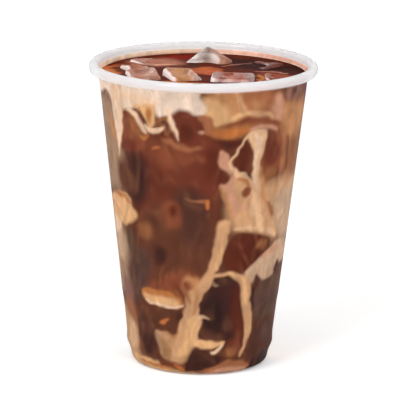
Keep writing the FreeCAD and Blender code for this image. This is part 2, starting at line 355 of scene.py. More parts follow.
def lathe_tree(finishes):
    """Geometry Nodes: each point of a section is carried round the axis."""
    tree = bpy.data.node_groups.new("turn_on_lathe", "GeometryNodeTree")
    sockets = tree.interface
    sockets.new_socket("Section", in_out="INPUT", socket_type="NodeSocketGeometry")
    around = sockets.new_socket("Facets round the cup", in_out="INPUT",
                                socket_type="NodeSocketInt")
    above = sockets.new_socket("Lip starts at height", in_out="INPUT",
                               socket_type="NodeSocketFloat")
    sockets.new_socket("Turned", in_out="OUTPUT", socket_type="NodeSocketGeometry")
    nodes = Nodes(tree)
    maths = nodes.maths
    section, facets, lip_height = nodes.add("NodeGroupInput").outputs[:3]
    count = nodes.add("GeometryNodeAttributeDomainSize", Geometry=section).outputs["Point Count"]
    columns = maths("ADD", facets, 1.0)
    grid = nodes.out("GeometryNodeMeshGrid", Vertices_X=count, Vertices_Y=columns)
    index = nodes.out("GeometryNodeInputIndex")
    along = maths("FLOOR", maths("DIVIDE", index, columns))
    column = maths("SUBTRACT", index, maths("MULTIPLY", along, columns))
    turn = maths("MULTIPLY", maths("DIVIDE", column, facets), 2 * math.pi)
    position = nodes.out("GeometryNodeInputPosition")
    point = nodes.out("GeometryNodeSampleIndex", {"data_type": "FLOAT_VECTOR"}, Geometry=section,
                      Value=position, Index=along)
    radius, _, height = nodes.add("ShaderNodeSeparateXYZ", Vector=point).outputs
    placed = nodes.out("ShaderNodeCombineXYZ", X=maths("MULTIPLY", radius, maths("COSINE", turn)),
                       Y=maths("MULTIPLY", radius, maths("SINE", turn)), Z=height)
    turned = nodes.out("GeometryNodeSetPosition", Geometry=grid, Position=placed)
    joined = nodes.out("GeometryNodeMergeByDistance", Geometry=turned, Distance=2 * TOUCH)
    whole = nodes.out("GeometryNodeRealizeInstances", Geometry=joined)
    wall = nodes.out("GeometryNodeSetMaterial", Geometry=whole, Material=finishes[0])
    where = nodes.add("ShaderNodeSeparateXYZ", Vector=position).outputs[2]
    is_lip = nodes.out("FunctionNodeCompare", {"data_type": "FLOAT", "operation": "GREATER_THAN"},
                       A=where, B=lip_height)
    lip = nodes.out("GeometryNodeSetMaterial", Geometry=wall, Selection=is_lip,
                    Material=finishes[1])
    nodes.add("NodeGroupOutput", _0=lip)
    return tree, around.identifier, above.identifier


def make_cup():
    section = [(r * MM, 0.0, z * MM) for r, z in cup_section()]
    section.append(section[0])
    cup = new_piece("clear_cup", section, [])
    tree, around, above = lathe_tree([clear_wall(), clear_lip()])
    lathe = cup.modifiers.new("lathe", "NODES")
    lathe.node_group = tree
    lathe[around] = CUP_FACETS
    lathe[above] = (LIP_MIDDLE - LIP_FINISH) * MM
    settle(cup)
    face_outward(cup)
    shade_smooth(cup)
    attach(cup, "root")
    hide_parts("cup")
    return cup


# ---------------------------------------------------------------- colours of coffee and cream
TONES = {
    "black": (48, 30, 28), "plum": (66, 37, 33), "umber": (84, 50, 40), "oxblood": (91, 41, 28),
    "maroon": (108, 52, 37), "russet": (127, 68, 46), "brown": (97, 56, 40),
    "moss": (94, 67, 51), "smoke": (88, 61, 53), "toffee": (162, 116, 78),
    "taupe": (160, 126, 100), "sienna": (145, 91, 58), "rust": (160, 100, 68),
    "caramel": (184, 128, 86), "amber": (176, 110, 62), "orange": (190, 110, 60),
    "mauve": (136, 95, 82), "pink": (196, 142, 114), "tan": (199, 151, 111),
    "gold": (218, 168, 120), "sand": (215, 171, 133), "beige": (193, 157, 128),
    "cream": (229, 192, 160), "pale": (231, 205, 184),
}
BASE_TONE = "brown"


def stroke(tone, soft, *points):
    return "stroke", tone, soft, points


def patch(tone, soft, *points):
    return "patch", tone, soft, points


# Swirls against the wall, laid one over the other. A stroke is a line of (degrees round from
# the front, height, half width); a patch is an outline of (degrees, height). Soft is how far
# the edge fades. All but the degrees are in millimetres.
SWIRLS = [
    # broad fields of colour
    patch("maroon", 9, (-48, 118), (4, 118), (12, 104), (12, 84), (4, 60), (-44, 52), (-50, 80)),
    patch("brown", 8, (-44, 74), (-14, 80), (6, 74), (6, 52), (-20, 48), (-46, 46)),
    patch("plum", 8, (-50, 98), (-38, 100), (-34, 90), (-36, 76), (-50, 74)),
    patch("russet", 6, (-36, 104), (-12, 104), (-6, 98), (-14, 92), (-34, 94)),
    patch("umber", 6, (-20, 84), (-4, 86), (6, 78), (4, 62), (-6, 56), (-14, 62)),
    patch("taupe", 8, (-95, 118), (-64, 118), (-54, 98), (-52, 84), (-60, 78), (-95, 78)),
    patch("brown", 6, (-62, 92), (-50, 94), (-46, 84), (-50, 79), (-62, 80)),
    patch("beige", 9, (-95, 62), (-64, 64), (-58, 54), (-60, 46), (-95, 44)),
    patch("taupe", 7, (-95, 48), (-66, 48), (-58, 40), (-62, 32), (-95, 32)),
    patch("smoke", 7, (-58, 52), (-42, 56), (-34, 50), (-40, 42), (-48, 30), (-58, 30)),
    patch("mauve", 6, (-72, 40), (-58, 40), (-56, 30), (-66, 26), (-74, 30)),
    patch("tan", 8, (-95, 26), (-66, 25), (-56, 20), (-55, 8), (-60, 3), (-95, 3)),
    patch("rust", 7, (2, 128), (42, 128), (54, 118), (46, 110), (22, 112), (4, 114)),
    patch("caramel", 8, (46, 120), (72, 119), (90, 114), (90, 100), (60, 100), (50, 108)),
    patch("sienna", 8, (56, 104), (90, 104), (90, 86), (62, 84), (54, 90)),
    patch("tan", 8, (16, 82), (60, 87), (90, 84), (90, 62), (60, 58), (34, 63), (18, 66)),
    patch("beige", 7, (50, 78), (64, 82), (90, 82), (90, 56), (64, 58), (56, 64)),
    # top band
    patch("caramel", 4, (0, 128), (20, 128), (24, 120), (20, 114), (8, 111), (0, 114)),
    patch("gold", 4, (0, 126), (8, 124), (15, 119), (15, 112.5), (7, 111.5), (2, 115), (0, 119)),
    patch("rust", 3.5, (22, 126), (40, 126), (42, 118), (34, 116.5), (26, 118)),
    patch("caramel", 5, (27, 123), (34, 123), (36, 118.5), (29, 118)),
    patch("mauve", 4, (52, 127), (70, 126), (72, 121), (60, 119.5), (52, 121)),
    patch("umber", 4, (57, 125), (63, 125), (63, 122), (58, 122)),
    patch("pink", 4, (42, 122), (46, 125), (50, 123), (51, 115), (47, 111.5), (41, 113)),
    stroke("tan", 2, (18, 126, 0.8), (21, 121, 1), (25, 117.8, 1.2), (31, 116, 1.4), (38, 115, 1.6),
           (42, 114, 1.2)),
    stroke("gold", 2.4, (9, 112.6, 1), (14, 114.6, 1.3), (20, 116.6, 1.2), (25, 117.4, 1)),
    stroke("russet", 2.4, (9, 111.4, 0.5), (18, 113.2, 1), (27, 114.2, 1.3), (37, 113, 1.3),
           (48, 110.6, 0.9)),
    patch("amber", 3.2, (3, 112), (8, 110.8), (18, 112.4), (28, 112.6), (30, 109.4), (24, 107.2),
          (14, 106.4), (8, 106.5), (5, 108)),
    stroke("orange", 2.4, (9, 108.6, 0.8), (16, 109.4, 1.3), (24, 110.2, 0.9)),
    # dark reds below it
    patch("oxblood", 2.4, (7, 105.4), (13, 106.2), (22, 106.4), (23, 103.6), (19, 101.2), (15, 101.6),
          (9, 102.6)),
    patch("plum", 2.2, (10, 104.8), (18, 104.8), (18, 103), (11, 103.2)),
    patch("oxblood", 3, (2, 103), (8.5, 102), (9.6, 95), (12, 91), (17.5, 89.5), (12, 87.6), (6, 86),
          (2, 92)),
    patch("maroon", 3, (-14, 118), (-9, 119), (-4, 117), (2, 112), (5, 108), (3, 104), (-4, 102.5),
          (-13, 105)),
    patch("oxblood", 2.6, (-13, 112), (-7, 111), (-5, 107), (-9, 105), (-13, 106)),
    patch("rust", 2, (-2, 117), (5, 116), (7, 112), (5, 107.6), (1, 108.4), (1, 113), (-4, 115)),
    stroke("pink", 1.2, (-2.4, 109.2, 0.3), (-0.6, 109, 0.8), (1, 109, 0.3)),
    stroke("rust", 2.4, (-14, 103.6, 0.8), (-9, 102, 1.2), (-3, 102.6, 0.8)),
    stroke("russet", 2.6, (-8, 97, 1.2), (-4, 98.5, 1.8), (0, 97, 1.2)),
    # left of the top: windows under the pale wash
    patch("russet", 3, (-50, 116), (-44, 117), (-38, 112), (-33, 106), (-32, 101), (-40, 99), (-54, 99)),
    patch("sienna", 3, (-47, 113), (-42, 112.6), (-37, 108.6), (-40, 105), (-46, 107)),
    patch("maroon", 3, (-56, 101), (-46, 104), (-40, 101.6), (-45, 97.6), (-56, 97)),
    patch("taupe", 2.6, (-72, 117), (-69, 121), (-64, 120.4), (-61.4, 113), (-60, 103), (-61, 95),
          (-74, 94)),
    patch("caramel", 3, (-67, 112), (-62, 113), (-60.4, 105), (-62, 100), (-67, 103)),
    patch("mauve", 3, (-70, 120), (-65, 120), (-64, 117), (-69, 116)),
    patch("pale", 2.6, (-95, 128), (-2, 128), (-1, 124), (2.4, 118.5), (-3, 116.4), (-9, 118.6),
          (-13, 118.4), (-17, 116.6), (-21, 115.6), (-25, 115), (-28, 117), (-32, 119.4), (-40, 118),
          (-46, 116), (-52, 115), (-61, 117), (-64, 121), (-70, 122), (-76, 119), (-95, 119)),
    patch("cream", 5, (-50, 124), (-30, 124), (-24, 121), (-36, 118.5), (-48, 119)),
    stroke("pink", 3, (-52.5, 127, 0.9), (-52, 121, 1.3), (-51, 115.5, 0.9)),
    stroke("cream", 1.8, (-56.6, 122, 4.2), (-56, 115, 4), (-55.6, 108, 3), (-56.6, 102, 1.6),
           (-57.6, 98, 0.8), (-58.4, 95, 0.3)),
    stroke("pale", 2, (-58, 118, 1), (-58.4, 110, 1.2), (-58, 103, 0.7)),
    patch("gold", 2, (-42, 118.6), (-36, 119.6), (-30, 120.4), (-27.6, 120), (-27.6, 115), (-28, 111),
          (-31, 109.4), (-35, 112), (-37.6, 116), (-41, 117.4)),
    patch("amber", 2.6, (-33, 118), (-30, 118), (-30.4, 112), (-33, 112.4), (-34.6, 115)),
    stroke("umber", 0.7, (-38, 117.4, 0.2), (-36.4, 113.8, 0.4), (-33.6, 110.4, 0.5), (-31.4, 108, 0.3)),
    stroke("cream", 1.4, (-45.4, 115.8, 1.2), (-41, 114.2, 1), (-39, 111, 1.1), (-37, 109.2, 1.1),
           (-34.4, 107.6, 0.5)),
    stroke("cream", 1.3, (-35, 110.6, 0.7), (-32, 109.2, 1.2), (-28.6, 108.4, 1.4), (-25, 108.9, 1.3),
           (-22.4, 110.2, 1), (-20.8, 112, 0.4)),
    patch("sienna", 1.6, (-28.4, 112.2), (-25, 115), (-20, 116.2), (-17.6, 114), (-17.4, 109),
          (-19, 106.2), (-20.4, 107), (-20.8, 110.4), (-23, 112), (-26.6, 111)),
    stroke("umber", 1, (-25.6, 112.4, 0.4), (-22, 113.6, 0.7), (-19.4, 112.6, 0.7), (-18.8, 108, 0.4)),
    stroke("amber", 1.6, (-38, 105.6, 0.6), (-35, 105.2, 1.1), (-32.6, 106.6, 0.5)),
    stroke("orange", 0.9, (-30.2, 100, 0.3), (-27.6, 100.8, 0.6), (-25.4, 101, 0.3)),
    stroke("cream", 1.3, (-18.4, 118, 1.2), (-17.4, 114, 0.9), (-16, 110, 1), (-14.6, 107, 0.6),
           (-13.8, 105.6, 0.3)),
    stroke("rust", 2.2, (-22, 105, 0.8), (-19, 104, 1.3), (-15, 102.6, 1.2), (-12, 103, 0.6)),
    # branch, loop and the tall stream on the right
    patch("pink", 1.5, (9.8, 101), (13, 101), (16.6, 99), (17.4, 96.4), (18.6, 92.4), (17.4, 90.8),
          (14, 92.2), (10.4, 94), (9.8, 97)),
    patch("pink", 1.7, (9.8, 86.6), (12.6, 85.6), (15.8, 86.6), (17.8, 92), (22, 91), (27, 88.6), (31, 85),
          (32.6, 79), (31, 73), (26, 75.6), (23, 71.6), (19.6, 72), (19, 76), (15, 79), (11.4, 83)),
    patch("tan", 3, (18, 89), (25, 88), (30, 83), (31, 76), (25, 77), (21, 82)),
    stroke("caramel", 2, (10.6, 84.6, 0.6), (13.6, 81, 1), (18, 77, 1), (20, 73, 0.6)),
    stroke("sand", 1.1, (27.6, 107.6, 1.2), (25, 105.8, 0.7), (22, 102.6, 0.6), (19.4, 99.2, 0.6),
           (17.6, 96.4, 0.6), (18.4, 93.6, 1), (22, 91, 1.5), (26, 89.2, 1.5), (29.4, 86, 1.3),
           (31, 82, 0.8)),
    stroke("amber", 1.6, (22.6, 88.6, 0.5), (27, 87.2, 0.8), (29.8, 83.6, 0.6)),
    patch("oxblood", 1.4, (19.4, 95.6), (21.4, 100), (23.6, 103.4), (25, 104.8), (27, 101.8), (29.8, 98.8),
          (31, 95.6), (30.6, 91.6), (28, 90.6), (24, 91.8), (20.6, 93.4)),
    patch("russet", 1.5, (24.8, 83), (27.4, 84.6), (30, 83.2), (29.4, 80.6), (27, 79.8), (25, 81)),
    patch("russet", 3, (39, 109.6), (45, 110), (52, 106), (54.6, 100), (53.6, 92), (49, 86.6), (41, 85.6),
          (37.4, 90), (37, 100)),
    patch("maroon", 2.6, (40.4, 108.6), (45, 108.8), (50, 104.8), (52, 99), (50, 94), (44, 93), (39.4, 96),
          (38.8, 103)),
    patch("sienna", 3, (40, 91), (48, 92), (51, 89), (46, 85.6), (41, 85)),
    patch("sand", 1.4, (27, 109.4), (34, 109.8), (39.8, 109.4), (39.2, 106), (37, 101), (36, 97),
          (32.4, 98), (29.8, 101.4), (26.4, 105.4)),
    stroke("sand", 1.6, (34, 107, 2), (35, 102, 2.2), (34.2, 96, 2), (34, 90, 2.2), (34.6, 84, 2.6),
           (35.4, 78, 2.8), (37, 72, 2.4), (40, 66, 1.4)),
    stroke("cream", 1.6, (31, 107, 0.8), (34.4, 105, 1.4), (33.4, 99, 1), (33, 92, 0.9), (33.4, 86, 0.7)),
    stroke("caramel", 2.6, (38, 92, 0.6), (38.6, 86, 1.1), (40.6, 80, 1.3), (44, 77, 0.8)),
    stroke("pink", 1.8, (28, 109.8, 0.6), (34, 110.6, 0.9), (41, 110.4, 0.9), (47, 108.8, 0.5)),
    stroke("rust", 2.4, (53.6, 108, 1), (56, 102, 1.5), (56, 95, 1.5), (54, 89, 1)),
    stroke("brown", 2.6, (59.4, 104, 0.5), (60.6, 97, 0.9), (59.6, 90, 0.6)),
    stroke("rust", 2.2, (46, 76, 0.8), (48.4, 73.4, 1.4), (50, 70, 0.8)),
    # middle and left
    stroke("rust", 1.1, (-9.6, 80.4, 0.2), (-5, 79.7, 0.5), (0, 79.4, 0.7), (2.6, 78.6, 0.9)),
    patch("orange", 1.4, (1.4, 79.6), (4.4, 79.4), (4.8, 76.6), (3, 75.2), (1.6, 77)),
    patch("russet", 4, (-26, 78), (-16, 79), (-12, 74), (-14, 66), (-24, 66)),
    patch("oxblood", 2.6, (-20, 76), (-16, 76), (-15, 72), (-19, 72)),
    patch("sienna", 4, (-44, 67), (-36, 68), (-32, 63), (-38, 59), (-45, 61)),
    patch("plum", 3.5, (-34, 58), (-26, 58), (-24, 51), (-32, 49)),
    patch("gold", 2.6, (-95, 73), (-74, 75.6), (-64, 79), (-55, 79.4), (-50, 77), (-49, 73.4), (-44, 71.4),
          (-46, 67.6), (-52, 65.6), (-58, 63.6), (-66, 64), (-80, 58), (-95, 56)),
    stroke("pink", 2.6, (-84, 71, 0.6), (-76, 71.6, 1.2), (-68, 69.6, 0.9), (-63, 68, 0.4)),
    patch("cream", 3, (-84, 64), (-72, 66), (-66, 63), (-70, 59), (-84, 58)),
    stroke("amber", 2, (-72, 77, 0.5), (-64, 77.4, 0.9), (-56, 77.6, 0.8), (-51, 74.6, 0.5)),
    patch("moss", 2.4, (-58, 63), (-52, 63.4), (-49, 58), (-52, 51), (-58, 53)),
    patch("russet", 4, (-38, 41), (-28, 43), (-17, 48), (-4, 48), (0, 44), (-2, 38), (-12, 37), (-26, 38),
          (-40, 38)),
    patch("caramel", 3.5, (-12, 46), (-2, 45), (2, 41), (-4, 37), (-12, 38)),
    patch("russet", 2.6, (-12, 43), (-7, 44), (-5, 38), (-9, 33.6), (-12, 36)),
    # the stream into the cream at the bottom
    stroke("tan", 1.8, (15, 69, 2.6), (14, 64, 2.6), (11.6, 58, 3), (10.6, 53, 2.5), (8, 49, 1.9),
           (5.4, 45.6, 2.2), (3, 42, 2.6)),
    stroke("gold", 1.8, (13.4, 57, 1), (13, 53, 1.3), (11.4, 49.6, 0.8)),
    patch("tan", 2, (7.6, 45), (3, 47), (-1, 43), (-5, 40), (-9, 37), (-12, 32), (-13.6, 26), (-17, 21.6),
          (-21, 16.6), (-26, 19.6), (-34, 19.4), (-38.4, 20), (-34, 16.6), (-32, 12), (-31.4, 7),
          (-22, 5.6), (-13, 5.4), (-9, 9.4), (-4, 13), (0.4, 16.8), (-0.4, 22), (2.8, 24.6), (1, 27.4),
          (-0.2, 31), (1, 36), (6, 40)),
    patch("gold", 2.6, (-2, 30), (-7, 27), (-12, 21), (-15, 13), (-20, 9), (-12, 8.6), (-5, 14),
          (-1.4, 19), (0, 24)),
    stroke("caramel", 2, (-27, 19.6, 0.4), (-22, 17, 0.9), (-17.4, 20.4, 0.5)),
    patch("toffee", 3, (-34, 17.4), (-26, 16), (-22, 10), (-25, 6.6), (-32, 7.2)),
    stroke("taupe", 1.6, (-38, 19.4, 0.4), (-34, 17.4, 0.9), (-31.6, 13.6, 0.8), (-31, 9, 0.5)),
    stroke("rust", 2, (-12, 41, 0.6), (-8.6, 37.6, 1), (-7.6, 33.6, 0.5)),
    stroke("caramel", 1.8, (-4, 40, 0.5), (-2, 35.6, 0.9), (-4.4, 29, 0.5)),
    # shelf
    patch("amber", 1.8, (-46, 37), (-41, 38.4), (-32, 38), (-22, 38.6), (-15, 38), (-12.4, 34.6),
          (-12.6, 31), (-20, 30), (-32, 30.2), (-42, 31), (-46, 34)),
    patch("gold", 2.6, (-44.6, 35.6), (-36, 34.8), (-24, 35), (-16, 34.6), (-14, 31.6), (-24, 30.8),
          (-36, 31), (-43, 32.4)),
    stroke("russet", 1.4, (-26, 38.2, 0.4), (-22, 38.8, 0.9), (-18, 37.4, 0.7), (-14.6, 36, 0.4)),
    stroke("cream", 1, (-43.6, 32.6, 0.3), (-38, 31.2, 0.7), (-28, 30.8, 0.8), (-18, 30.8, 0.7),
           (-13.6, 31.8, 0.3)),
    patch("brown", 1.5, (-57, 28), (-50, 32), (-44, 30.8), (-35, 29.4), (-22, 29.2), (-13, 29.6),
          (-13.6, 25.6), (-16.4, 21.8), (-19, 18.6), (-24, 19.6), (-33, 20.2), (-38, 18.6), (-34.4, 14),
          (-32.4, 8), (-40, 6), (-54, 7.6), (-55, 15), (-54, 22)),
    patch("umber", 4, (-53, 26), (-42, 25), (-37, 20), (-36, 9), (-52, 8)),
    patch("plum", 3, (-50, 16), (-38, 17), (-35, 12), (-40, 7.6), (-50, 8)),
    patch("plum", 2, (-17, 29), (-13.6, 29), (-14, 25), (-16.6, 24.6)),
    # painted glint: a small spot of orange light on the coffee behind the wall
    stroke("orange", 1, (-31.6, 23.2, 0.4), (-27.6, 23.6, 0.9), (-23, 25, 0.4)),
    patch("rust", 5, (-74, 29), (-62, 30), (-55, 27), (-58, 21), (-72, 22)),
    patch("sand", 4, (-72, 20), (-60, 20), (-56, 14), (-58, 8), (-72, 8)),
    # the big dark window and what frames it
    patch("plum", 1.3, (0, 31), (0.8, 35), (4, 38.2), (8, 40), (8.4, 43.6), (12, 45.8), (17, 46.2),
          (22, 44.4), (27, 40.4), (30.4, 34), (32.6, 27.6), (36, 22), (36, 17.6), (33.6, 12.6),
          (31.6, 8.6), (27, 8), (20, 9.4), (19, 12.4), (19.4, 15.6), (10, 16.8), (0.2, 17.4), (-0.4, 21),
          (3, 24.4), (1.2, 27.2)),
    patch("oxblood", 4, (24, 43), (29, 37), (31.6, 30), (35.4, 21), (34, 14), (27, 16), (24, 24),
          (23, 36)),
    patch("black", 5, (6, 36), (14, 36), (18, 28), (14, 20), (4, 20), (4, 28)),
    patch("maroon", 3, (20, 15.6), (32, 17), (34, 12.6), (31, 8), (22, 8.6)),
    patch("sienna", 3, (20, 12.6), (28, 12.6), (29, 8.6), (21, 8)),
    stroke("taupe", 1.4, (8, 43, 0.3), (10, 41.2, 0.6), (12, 41.4, 0.3)),
    stroke("sand", 1.1, (-1, 27, 1.2), (2.4, 27.7, 0.8), (5, 27, 0.5), (6.8, 26.2, 0.3)),
    stroke("gold", 1.2, (-4, 14.6, 1.4), (2, 15, 1.7), (8, 14.9, 1.6), (13, 14.6, 1.3), (18.4, 14.6, 0.7)),
    stroke("cream", 1, (8.6, 11.4, 0.4), (12, 11.2, 0.7), (15.4, 12.2, 0.6), (18, 13.6, 0.4)),
    patch("plum", 1.3, (-12, 3.4), (-9.4, 7.4), (-4.4, 11.6), (1, 13), (7.6, 12.6), (9, 10.2), (12.4, 10),
          (17.4, 9), (15, 5.6), (8, 3.8), (0, 2.8), (-8, 2.4)),
    patch("moss", 3, (39, 38), (46, 41), (60, 42), (90, 41), (90, 24), (60, 22), (46, 24), (42, 30)),
    patch("smoke", 6, (40, 36), (60, 38), (74, 34), (68, 25), (44, 25)),
    patch("umber", 3, (38, 10), (43, 18), (46, 24), (58, 24), (90, 22), (90, 3), (44, 4)),
    patch("smoke", 4, (54, 21), (62, 21), (68, 16), (60, 12), (54, 14)),
    patch("black", 2.6, (46, 4), (54, 7), (64, 7.6), (80, 6), (80, -2), (46, -1)),
    patch("beige", 2, (30, 45.6), (36, 48.6), (42, 52), (52, 55.6), (62, 58), (78, 58), (90, 50), (78, 46),
          (69, 46.6), (64, 44), (60, 41.4), (52, 41), (46, 42), (43, 44.6), (41, 43), (38.6, 40)),
    stroke("pink", 2.4, (44, 52, 0.5), (54, 54.4, 1), (64, 54.8, 1)),
    stroke("tan", 1.4, (9.6, 46, 0.5), (14, 47, 0.8), (20, 47.2, 1), (26, 45, 1.9), (31.6, 42.6, 2.8),
           (34.6, 38, 2.7), (36, 32, 2.7), (38.4, 26, 2.6), (39.4, 21, 2.3), (38.4, 17, 1.5),
           (36.6, 14.4, 0.9), (34.4, 11, 0.7), (32.4, 8.4, 0.5)),
    stroke("gold", 1.4, (11, 46.2, 0.3), (20, 46.8, 0.6), (26, 45.6, 0.8), (31, 43.6, 0.9), (34, 38, 0.9),
           (36, 31, 0.8)),
    stroke("umber", 1.6, (42, 44, 0.6), (44, 41.6, 1.4), (43, 38, 1.2)),
    stroke("plum", 1.6, (40.6, 38, 0.8), (40.6, 33, 1), (42, 28.6, 0.6)),
    patch("umber", 2, (60.6, 42), (61.6, 47), (65, 48.6), (69, 47), (70, 42)),
    patch("oxblood", 1.6, (15.6, 54), (18, 59.6), (21, 62.8), (26, 64.6), (35, 64), (44, 61.8), (53.6, 59),
          (50, 55.8), (42, 51), (35, 48.4), (28, 46.9), (22, 47.6), (17, 50)),
    patch("sienna", 3, (42, 60), (50, 59.4), (50, 57), (44, 55), (38, 57)),
    stroke("sand", 2, (22, 66, 0.5), (30, 66.4, 0.9), (38, 65.6, 1.1), (48, 63, 1.2), (58, 60.6, 1)),
    # foot: a band lighter than the coffee above, partly its own colour and partly painted light that
    # offsets the shade where the heel turns under
    stroke("gold", 2, (-84, 5, 1.2), (-66, 4.6, 1.2), (-50, 4.8, 1.2), (-38, 4, 1)),
    stroke("gold", 2.4, (-80, 2.2, 1.6), (-50, 1.8, 1.6), (-30, 1, 1.4), (-8, 0.8, 1.2), (6, 1, 0.9)),
    stroke("amber", 1.6, (-56, 3.4, 0.4), (-40, 2.8, 0.7), (-24, 2.6, 0.5)),
    stroke("russet", 1.6, (-34, 5.4, 0.5), (-26, 5, 0.8), (-13, 4.4, 0.6)),
    stroke("orange", 1.4, (-20, 4.4, 0.4), (-16.6, 3.8, 0.8), (-13, 3, 0.4)),
    stroke("rust", 2, (0, 1.8, 0.9), (12, 3.2, 1.5), (24, 4.6, 2), (36, 4.6, 1.6), (44, 3, 1)),
    stroke("pink", 2, (4, 0.8, 1), (16, 1.4, 1.4), (30, 2, 1.4), (42, 1.4, 1)),
]


# Swirls on the two sides, in degrees from the side's middle; minus is towards the front on
# the right side and towards the back on the left one.
RIGHT_SIDE = [
    patch("pale", 2.6, (-8, 128), (34, 128), (30, 120), (24, 117), (16, 119), (8, 116), (0, 119),
          (-6, 122)),
    stroke("cream", 1.8, (16, 120, 2.6), (15, 111, 2), (17, 103, 1.3), (16, 97, 0.5)),
    stroke("sand", 1.8, (4, 118, 1.6), (6, 108, 1.1), (3, 98, 1.6), (5, 88, 2), (10, 78, 2.2),
           (9, 66, 1.8), (3, 56, 1)),
    patch("oxblood", 2, (9, 108), (14, 106), (15, 96), (12, 88), (8, 92), (7, 101)),
    patch("maroon", 3, (-9, 104), (-3, 108), (0, 100), (-2, 90), (-8, 88)),
    patch("plum", 2, (-4, 58), (4, 52), (14, 56), (16, 44), (8, 34), (-3, 36), (-7, 46)),
    stroke("tan", 2, (-6, 60, 0.8), (2, 60, 1.6), (12, 61, 2.2), (19, 56, 2.2), (20, 44, 1.8),
           (15, 32, 2.2), (10, 20, 2.8), (8, 10, 1.4)),
    stroke("gold", 1.6, (16, 58, 0.6), (19, 48, 0.9), (16, 36, 0.8)),
    patch("caramel", 3, (12, 30), (22, 26), (26, 14), (14, 8), (8, 14)),
    patch("umber", 2.4, (-8, 30), (0, 32), (5, 22), (2, 10), (-8, 8)),
]
LEFT_SIDE = [
    patch("pale", 2.6, (-30, 128), (14, 128), (12, 121), (4, 118), (-4, 120), (-14, 116), (-24, 119)),
    stroke("cream", 1.8, (-14, 120, 2), (-13, 112, 1.6), (-15, 104, 0.8), (-14, 99, 0.4)),
    patch("russet", 3, (-8, 114), (0, 116), (6, 108), (4, 98), (-5, 96), (-10, 104)),
    stroke("sand", 1.8, (8, 96, 0.6), (2, 92, 1.4), (-6, 92, 1.8), (-14, 88, 2), (-18, 78, 2),
           (-14, 68, 1.6), (-8, 62, 0.8)),
    patch("oxblood", 2, (-12, 88), (-4, 88), (2, 82), (-2, 74), (-10, 72), (-14, 79)),
    stroke("gold", 2, (-20, 56, 0.6), (-10, 58, 1.4), (0, 55, 2), (8, 48, 1.6), (10, 40, 0.8)),
    patch("plum", 2.4, (-16, 52), (-4, 52), (4, 44), (2, 34), (-8, 30), (-16, 38)),
    stroke("tan", 2, (-20, 34, 1), (-12, 28, 2), (-4, 24, 2.6), (4, 22, 2.2), (12, 24, 1)),
    patch("brown", 2, (-10, 18), (4, 18), (8, 10), (-4, 6), (-12, 9)),
]


TINY = 1e-9
FAR = 99.0                      # further than any stroke or patch reaches
REACH = 12.0                    # places further than this from a shape are not tested


def smooth_outline(points):
    """Corners cut twice, so that a few points give a rounded outline."""
    points = np.array(points, float)
    for _ in range(2):
        after = np.roll(points, -1, axis=0)
        cut = [0.75 * points + 0.25 * after, 0.25 * points + 0.75 * after]
        points = np.stack(cut, 1).reshape(-1, 2)
    return points


def fade(depth, soft):
    t = np.clip(depth / soft + 0.5, 0, 1)
    return t * t * (3 - 2 * t)


def from_run(across, up, start, end):
    """How far along a straight run each place lies, 0 to 1, and its gap from the run."""
    dx, dz = end[0] - start[0], end[1] - start[1]
    along = ((across - start[0]) * dx + (up - start[1]) * dz) / (dx * dx + dz * dz + TINY)
    along = np.clip(along, 0, 1)
    return along, np.hypot(across - start[0] - along * dx, up - start[1] - along * dz)


def stroke_depth(across, up, points):
    """How far inside a tapering stroke each place lies; negative outside it."""
    depth = np.full(len(across), -FAR)
    for start, end in zip(points[:-1], points[1:]):
        along, gap = from_run(across, up, start, end)
        depth = np.maximum(depth, start[2] + along * (end[2] - start[2]) - gap)
    return depth


def patch_depth(across, up, outline):
    """How far inside an outline each place lies; negative outside it."""
    nearest = np.full(len(across), FAR)
    inside = np.zeros(len(across), bool)
    for start, end in zip(outline, np.roll(outline, -1, axis=0)):
        nearest = np.minimum(nearest, from_run(across, up, start, end)[1])
        dx, dz = end[0] - start[0], end[1] - start[1]
        if abs(dz) <= TINY:
            dz = TINY
        crosses = (start[1] > up) != (end[1] > up)
        inside ^= crosses & (across < dx * (up - start[1]) / dz + start[0])
    return np.where(inside, nearest, -nearest)


def lay(across, up, ground, tones, shapes):
    """Colour of each place once the shapes lie on the ground in their order, in millimetres."""
    colour = np.array(ground)
    for kind, tone, soft, points in shapes:
        placed = np.array(points, float)
        low, high = placed.min(axis=0) - REACH, placed.max(axis=0) + REACH
        near = (across > low[0]) & (across < high[0]) & (up > low[1]) & (up < high[1])
        if not near.any():
            continue
        if kind == "stroke":
            depth = stroke_depth(across[near], up[near], placed)
        else:
            depth = patch_depth(across[near], up[near], smooth_outline(placed))
        amount = fade(depth, soft)[:, None]
        colour[near] += (np.array(srgb(*tones[tone])) - colour[near]) * amount
    return colour


def mm_round(degrees, height):
    return np.radians(degrees) * wall_radius(height)


def lay_swirls(degrees, heights, radii, swirls, ground):
    """Colour of each place on the wall."""
    rolled = [(kind, tone, soft, [(mm_round(p[0], p[1]), *p[1:]) for p in points])
              for kind, tone, soft, points in swirls]
    return lay(np.radians(degrees) * radii, heights, ground, TONES, rolled)


def drift(places, size, seed):
    """Smooth, repeatable wandering of places, lumps of that size in millimetres."""
    shift = Vector((seed, seed * 1.7, -seed))
    return np.array([noise.noise_vector(Vector(p) / size + shift) for p in places])


def wander(places, layers):
    """Wandering in layers, each one its size, its seed and how far it carries a place."""
    return sum(drift(places, size, seed) * carry for size, seed, carry in layers)


def paint(piece, colours):
    # the colours of coffee, cream and ice, with painted light among them: highlights, glints and lightened
    # places
    layer = piece.data.color_attributes.new("drink_and_painted_light", "FLOAT_COLOR", "POINT")
    rgba = np.concatenate([colours, np.ones((len(colours), 1))], 1)
    layer.data.foreach_set("color", rgba.astype(np.float32).ravel())


